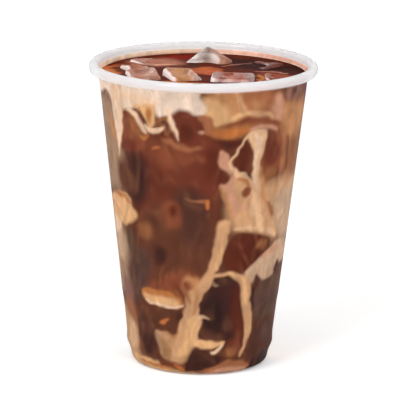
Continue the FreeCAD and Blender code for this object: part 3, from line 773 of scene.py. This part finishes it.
# ---------------------------------------------------------------- the coffee against the wall
SKIN_COLUMNS = 440
SKIN_ROWS = 195
WELL_DEPTH = 12.0
WELL_INSET = 0.8
FILM = 2.0                      # cream that clings to the wall above the surface
FILM_LEFT, FILM_RIGHT = (230, 198, 170), (232, 172, 150)
FILM_TURN = 50.0                # the film goes from its left to its right colour over this width
FILM_RISE, FILM_SHARE = 0.8, 0.85
SKIN_WANDER = ((10.0, 3.1, 1.1), (3.2, 8.4, 0.7))
BACK_WANDER = ((24.0, 6.3, 7.0),)
BACK_START, BACK_FADE = 88.0, 18.0      # degrees from the front
BACK_RAGGED = 1.5                       # degrees for each millimetre of wandering


def skin_section():
    """The coffee's outer skin from the middle of the base up to its level, (radius, height)."""
    inset = SHEET - BITE
    heel = HEEL_ROUND - inset
    floor = [(RAISED * share, PUSH_UP + inset) for share in (0.02, 0.25, 0.5, 0.75, 1.0)]
    floor += [(RING_IN, inset)]
    floor += arc(heel, FOOT_RADIUS - inset - heel, HEEL_ROUND, -math.pi / 2, 0, 10)
    steps = np.linspace(HEEL_ROUND, LEVEL, SKIN_ROWS)[1:]
    return floor + [(wall_radius(z) - inset, z) for z in steps]


def well_section(edge):
    """From the coffee's edge up the clinging film, over it, and down under the open surface."""
    well = edge - WELL_INSET
    floor = well - TAPER * WELL_DEPTH
    return [(edge + 0.12, LEVEL + 0.9), (edge + 0.2, LEVEL + FILM),
            (edge - 0.1, LEVEL + FILM + 0.1), (edge - 0.35, LEVEL + 0.9),
            (edge - 0.55, LEVEL + 0.3), (well, LEVEL), (well - TAPER, LEVEL - 1),
            (floor, LEVEL - WELL_DEPTH), (floor / 2, LEVEL - WELL_DEPTH)]


def rings_to_mesh(name, section, columns):
    """A turned piece whose rows are rings; both ends close on a middle point."""
    turns = np.linspace(0, 2 * math.pi, columns, endpoint=False)
    rows = [np.stack([r * np.sin(turns), -r * np.cos(turns), np.full(columns, z)], 1)
            for r, z in section]
    ends = [[0, 0, section[0][1]], [0, 0, section[-1][1]]]
    places = np.concatenate(rows + [ends])
    first, last = len(places) - 2, len(places) - 1
    faces = lattice(columns, len(section))
    faces += turned_over(fan(first, 0, columns))
    faces += fan(last, (len(section) - 1) * columns, columns)
    return new_piece(name, places * MM, faces), places


def skin_colours(places):
    """Colour of each place on the skin: the front, the same warped for the back, then the sides."""
    degrees = np.degrees(np.arctan2(places[:, 0], -places[:, 1]))
    heights = places[:, 2]
    levels = np.unique(heights)
    radii = np.interp(heights, levels, [wall_radius(z) for z in levels])
    ground = np.tile(srgb(*TONES[BASE_TONE]), (len(places), 1))
    near = wander(places, SKIN_WANDER)
    twist, lifted = np.degrees(near[:, 0] / radii), heights + near[:, 2]
    front = lay_swirls(degrees + twist, lifted, radii, SWIRLS, ground)
    broad = wander(places, BACK_WANDER)
    behind = (degrees + 360) % 360 - 180 + twist + np.degrees(broad[:, 0] / radii)
    back = lay_swirls(behind, lifted + broad[:, 2], radii, SWIRLS, ground)
    share = fade(np.abs(degrees) - BACK_START + broad[:, 1] * BACK_RAGGED, BACK_FADE)[:, None]
    colours = front * (1 - share) + back * share
    for side, swirls in ((90, RIGHT_SIDE), (-90, LEFT_SIDE)):
        colours = lay_swirls(degrees - side + twist, lifted, radii, swirls, colours)
    cling = np.clip((heights - LEVEL) / FILM_RISE, 0, 1)[:, None]
    right = fade(places[:, 0], FILM_TURN)[:, None]
    film = np.array(srgb(*FILM_LEFT)) * (1 - right) + np.array(srgb(*FILM_RIGHT)) * right
    return colours + (film - colours) * cling * FILM_SHARE


def make_coffee_skin():
    section = skin_section()
    section += well_section(section[-1][0])
    skin, places = rings_to_mesh("coffee_and_cream", section, SKIN_COLUMNS)
    paint(skin, skin_colours(places))
    skin.data.materials.append(coffee_skin())
    face_outward(skin)
    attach(skin, "root")
    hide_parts("coffee")
    return skin


# ---------------------------------------------------------------- the open surface
SURFACE_COLUMNS = 400
SURFACE_RINGS = 95
RING_CROWDING = 1.15            # above 1, the rings lie closer together near the wall
RISE, RISE_WIDTH = 0.3, 0.8     # the surface climbs the wall by this much over about this width
OVER_ALL, UNDER_ALL = 160.0, 60.0       # heights clear above and below every cube
POCKET_GAP = 0.2
POCKET_FLOOR, SURFACE_FLOOR = 1.5, 0.5  # above the bottom of the well
POOL_WANDER = ((9.0, 5.5, 3.2), (3.0, 1.5, 1.4))
SURFACE_TONES = {
    "wine": (89, 37, 25), "night": (52, 25, 20), "blood": (116, 30, 22), "olive": (72, 40, 26),
    "tip": (184, 104, 60), "bark": (98, 50, 28), "blush": (168, 108, 88), "rust": (172, 88, 54),
    "honey": (186, 114, 60), "brick": (138, 70, 52), "skin": (206, 152, 128),
}
# Colours of the open surface, laid in the same way: places are millimetres to the right and
# to the back of the cup's middle.
POOLS = [
    patch("night", 10, (4, 40), (40, 24), (46, 0), (34, 6), (18, 12), (4, 26)),
    patch("blood", 3, (-20, 38), (-2, 42), (-1, 27), (-10, 28), (-20, 33)),
    patch("tip", 6, (-46, -8), (-37, -12), (-36, 12), (-46, 14)),
    patch("rust", 4, (-40, 6), (-30, 12), (-28, 20), (-40, 18)),
    patch("bark", 4, (-40, 2), (-32, -3), (-29, 10), (-31, 22), (-37, 20)),
    stroke("rust", 1.8, (-42, 10, 0.8), (-37, 12, 1), (-31, 17, 0.5)),
    patch("blush", 8, (-32, 18), (-22, 14), (-12, 16), (-12, 30), (-22, 34), (-32, 26)),
    stroke("skin", 2, (-28, 22, 0.6), (-22, 18, 1.2), (-14, 20, 0.8)),
    patch("olive", 3, (-9, 26), (-3, 26), (-2, 14), (-8, 12)),
    patch("rust", 4, (-8, 12), (6, 14), (10, 6), (3, -4), (-2, 0), (-6, 6)),
    patch("brick", 8, (22, 2), (38, 3), (40, -16), (24, -17)),
    stroke("honey", 2.4, (22.6, 0, 0.8), (24, -6, 1.4), (23, -14, 1.2)),
    # painted highlight: the thin light line along the back edge of the awash cube on the right
    stroke("skin", 1.4, (24, 4.6, 0.3), (30, 4.2, 0.6), (37, 3.4, 0.4)),
    # painted glints over the sunk cube at the back on the right
    stroke("blush", 1.6, (8, 18, 0.5), (13, 21, 1), (19, 23, 0.5)),
    stroke("rust", 5, (-36, -16, 2), (-24, -20, 3), (-8, -21, 2.4), (2, -23, 1)),
    stroke("honey", 3, (-27, -19, 0.6), (-16, -20, 1.2), (-4, -20, 0.6)),
    patch("bark", 7, (4, -21), (26, -20), (34, -26), (20, -42), (2, -44)),
    stroke("brick", 4, (-22, -36, 0.6), (-6, -40, 1.6), (12, -38, 1)),
]
# Tone of the pocket that each cube lies in: cream colours, made lighter as painted light that comes
# through the ice.
LIT_POCKET_TONES = {
    "ice_back": "tan", "ice_left": "pink", "ice_centre_left": "tan", "ice_centre_right": "russet",
    "ice_right": "russet", "ice_back_left": "rust", "ice_back_right": "maroon",
}
# painted light, the same, for the pockets of all other cubes
DEEP_POCKET_TONE = "russet"


def cube_surface(name):
    """A cube's surface, to be asked what lies above or below a place."""
    tool = bmesh.new()
    tool.from_mesh(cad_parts[name].data)
    bmesh.ops.remove_doubles(tool, verts=tool.verts, dist=TOUCH)
    found = BVHTree.FromBMesh(tool)
    tool.free()
    return found


def pocket_at(x, y, cubes):
    """Height and colour of the pocket of the cube that stands out of the coffee at a place; the colour is
    lightened as painted light through the ice.
    """
    for name, cube in cubes.items():
        above = cube.ray_cast(Vector((x, y, OVER_ALL)) * MM, Vector((0, 0, -1)))[0]
        if above is None or above.z < LEVEL * MM:
            continue
        below = cube.ray_cast(Vector((x, y, UNDER_ALL)) * MM, Vector((0, 0, 1)))[0]
        height = max(below.z / MM - POCKET_GAP, LEVEL - WELL_DEPTH + POCKET_FLOOR)
        return height, srgb(*TONES[LIT_POCKET_TONES.get(name, DEEP_POCKET_TONE)])
    return None


def surface_rings(outer, turns):
    """Places of the open surface, ring by ring from the wall, and the colours of its pockets."""
    cubes = {name: cube_surface(name) for name in ICE}
    places, pocket_colours = [], []
    for radius in outer * (1 - np.linspace(0, 1, SURFACE_RINGS + 1)[:-1] ** RING_CROWDING):
        level = LEVEL + RISE * math.exp(-(outer - radius) / RISE_WIDTH)
        for turn in turns:
            x, y = radius * math.sin(turn), -radius * math.cos(turn)
            height, colour = pocket_at(x, y, cubes) or (level, None)
            places.append((x, y, height))
            pocket_colours.append(colour)
    return places, pocket_colours


def make_coffee_top():
    """The open surface, with a pocket for each cube, a rise at the wall and a closed underside."""
    columns = SURFACE_COLUMNS
    outer = wall_radius(LEVEL) - SHEET - WELL_INSET / 2
    turns = np.linspace(0, 2 * math.pi, columns, endpoint=False)
    top, pocket_colours = surface_rings(outer, turns)
    bottom = LEVEL - WELL_DEPTH + SURFACE_FLOOR
    base_radius = outer - TAPER * WELL_DEPTH
    base = [(base_radius * math.sin(t), -base_radius * math.cos(t), bottom) for t in turns]
    places = np.array(top + base + [(0, 0, LEVEL), (0, 0, bottom)])
    pocket_colours += [None] * (columns + 2)
    near = wander(places, POOL_WANDER)
    ground = np.tile(srgb(*SURFACE_TONES["wine"]), (len(places), 1))
    open_colours = lay(places[:, 0] + near[:, 0], places[:, 1] + near[:, 1], ground,
                       SURFACE_TONES, POOLS)
    colours = np.array([open_colour if pocket is None else pocket
                        for open_colour, pocket in zip(open_colours, pocket_colours)])
    start = len(top)
    middle, under = start + columns, start + columns + 1
    faces = lattice(columns, SURFACE_RINGS)
    faces += fan(middle, start - columns, columns)
    faces += [(c, start + c, start + (c + 1) % columns, (c + 1) % columns)
              for c in range(columns)]
    faces += turned_over(fan(under, start, columns))
    surface = new_piece("coffee_surface", places * MM, faces)
    paint(surface, colours)
    surface.data.materials.append(coffee_top())
    face_outward(surface)
    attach(surface, "root")
    return surface


# ---------------------------------------------------------------- ice that breaks the surface
VOXEL = 0.55
MELT_ROUNDS, EDGE_ROUNDS = 4, 12    # smoothing that melts a cube, and that finds its edges
EDGE_PULL = 0.45                    # an edge counts in full where smoothing pulls it this far
WAVE_SIZE, WAVE_SEED, WAVE_HEIGHT = 6.0, 2.2, 0.35
# What each cube shows of the coffee round it, with painted highlights where its faces and edges catch the
# light, from its left side to its right.
ICE_TINTS_AND_HIGHLIGHTS = {
    "ice_back": ((236, 222, 214), (250, 242, 236), (148, 120, 106), (198, 142, 120), (150, 92, 72)),
    "ice_back_left": ((186, 126, 110), (214, 164, 144), (186, 128, 106)),
    "ice_back_right": ((112, 62, 54), (160, 100, 92), (112, 58, 50)),
    "ice_left_chip": ((176, 112, 86), (200, 140, 116)),
    "ice_left": ((208, 152, 132), (190, 128, 106), (224, 180, 160), (196, 132, 108)),
    "ice_centre_left": ((204, 140, 114), (212, 150, 118), (210, 152, 104), (202, 144, 106),
                        (230, 224, 230)),
    "ice_centre_right": ((210, 184, 178), (178, 92, 64), (174, 86, 60), (214, 196, 194)),
    "ice_right": ((198, 136, 112), (150, 72, 50), (166, 90, 64)),
}
DEEP_ICE_TINTS = ((206, 150, 128), (182, 120, 96))


def places_of(piece):
    return np.array([vertex.co for vertex in piece.data.vertices])


def smoothed(piece, rounds):
    piece.modifiers.new("ease", "SMOOTH").iterations = rounds
    settle(piece)


def edge_strength(piece, places):
    """0 on flat faces to 1 along edges, which more smoothing would pull in the furthest."""
    rounded = put("rounded", piece.data.copy())
    smoothed(rounded, EDGE_ROUNDS)
    pulled = np.linalg.norm(places_of(rounded) - places, axis=1)
    bpy.data.objects.remove(rounded)
    return np.clip(pulled / MM / EDGE_PULL, 0, 1)


def left_to_right(across, tints):
    """Tints spread over a piece from its left side to its right."""
    colours = np.array([srgb(*tint) for tint in tints])
    along = (across - across.min()) / (across.max() - across.min()) * (len(tints) - 1)
    return np.stack([np.interp(along, range(len(tints)), colours[:, c]) for c in range(3)], 1)


def make_ice(name, finish):
    """A cube with its edges melted round and its faces gone slightly wavy."""
    piece = put(f"melting_{name}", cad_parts[name].data.copy())
    face_outward(piece)
    remesh = piece.modifiers.new("even", "REMESH")
    remesh.mode = "VOXEL"
    remesh.voxel_size = VOXEL * MM
    settle(piece)
    smoothed(piece, MELT_ROUNDS)
    places = places_of(piece)
    edges = edge_strength(piece, places)
    layer = piece.data.attributes.new("edge", "FLOAT", "POINT")
    layer.data.foreach_set("value", edges.astype(np.float32))
    # the cube's colours, painted highlights among them
    paint(piece, left_to_right(places[:, 0], ICE_TINTS_AND_HIGHLIGHTS.get(name, DEEP_ICE_TINTS)))
    waves = drift(places / MM, WAVE_SIZE, WAVE_SEED + len(name)) * WAVE_HEIGHT * MM
    for vertex, wave in zip(piece.data.vertices, waves):
        vertex.co += Vector(wave)
    piece.data.materials.clear()
    piece.data.materials.append(finish)
    shade_smooth(piece)
    piece.data.update()
    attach(piece, "root")
    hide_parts(name)
    return piece


# ---------------------------------------------------------------- stage, light and camera
CAMERA_DISTANCE = 1500.0
CAMERA_LIFT = math.radians(13.3)
CAMERA_ROLL = math.radians(0.82)
AIM_ASIDE, AIM_ABOVE_MIDDLE = -0.7, 4.9
PER_MM = 2.32                   # pictured size of a millimetre at the cup's middle
SENSOR = 36.0
FRAME_WIDTH = 400.0
CLIP_END = 10                   # metres
FLOOR_HALF = 3                  # metres
FLOOR_GLOW = 0.3
WORLD_LIGHT, WORLD_SEEN = 0.74, 1.0
LAMP_AIM = Vector((0, 0, 0.07))
# Each lamp: name, place and size in metres, power in watts.
LAMPS = (("key", (-0.7, -0.9, 1.1), 0.7, 10.5), ("fill", (0.9, -0.7, 0.6), 0.8, 4.2))


def make_camera():
    lens = bpy.data.cameras.new("camera")
    lens.sensor_width = SENSOR
    lens.lens = PER_MM * CAMERA_DISTANCE * SENSOR / FRAME_WIDTH
    lens.clip_end = CLIP_END
    camera = put("camera", lens)
    aim = Vector((AIM_ASIDE, 0, CUP_HEIGHT / 2 + AIM_ABOVE_MIDDLE))
    back = Vector((0, -math.cos(CAMERA_LIFT), math.sin(CAMERA_LIFT)))
    camera.location = (aim + back * CAMERA_DISTANCE) * MM
    turned = (-back).to_track_quat("-Z", "Y").to_matrix().to_4x4()
    rolled = Euler((0, 0, CAMERA_ROLL)).to_matrix().to_4x4()
    camera.matrix_world = Matrix.Translation(camera.location) @ turned @ rolled
    bpy.context.scene.camera = camera


def make_stage():
    corners = [(-FLOOR_HALF, -FLOOR_HALF, 0), (FLOOR_HALF, -FLOOR_HALF, 0),
               (FLOOR_HALF, FLOOR_HALF, 0), (-FLOOR_HALF, FLOOR_HALF, 0)]
    floor = new_piece("floor", corners, [(0, 1, 2, 3)])
    made, nodes = material("studio_floor")
    paper = nodes.out("ShaderNodeBsdfDiffuse", Color=nodes.mottle(0.86, 0.88, 30, 2))
    glow = nodes.out("ShaderNodeEmission", Strength=FLOOR_GLOW)
    bright = nodes.out("ShaderNodeAddShader", _0=paper, _1=glow)
    nodes.finish(nodes.blend(nodes.looked_at(), paper, bright))
    floor.data.materials.append(made)


def make_light():
    world = bpy.data.worlds.new("studio")
    bpy.context.scene.world = world
    world.use_nodes = True
    nodes = Nodes(world.node_tree)
    strength = nodes.ramp(nodes.looked_at(), 0, 1, WORLD_LIGHT, WORLD_SEEN)
    sky = nodes.out("ShaderNodeBackground", Color=(1, 1, 1, 1), Strength=strength)
    nodes.add("ShaderNodeOutputWorld", Surface=sky)
    for name, place, size, power in LAMPS:
        lamp = bpy.data.lights.new(name, "AREA")
        lamp.size = size
        lamp.energy = power
        holder = put(name, lamp)
        holder.location = place
        holder.visible_glossy = False
        holder.rotation_euler = (LAMP_AIM - Vector(place)).to_track_quat("-Z", "Y").to_euler()


make_camera()
make_stage()
make_light()
make_cup()
make_coffee_skin()
make_coffee_top()
ice_finish = wet_ice()
for cube in ICE:
    make_ice(cube, ice_finish)
bpy.context.scene.view_settings.view_transform = "Standard"
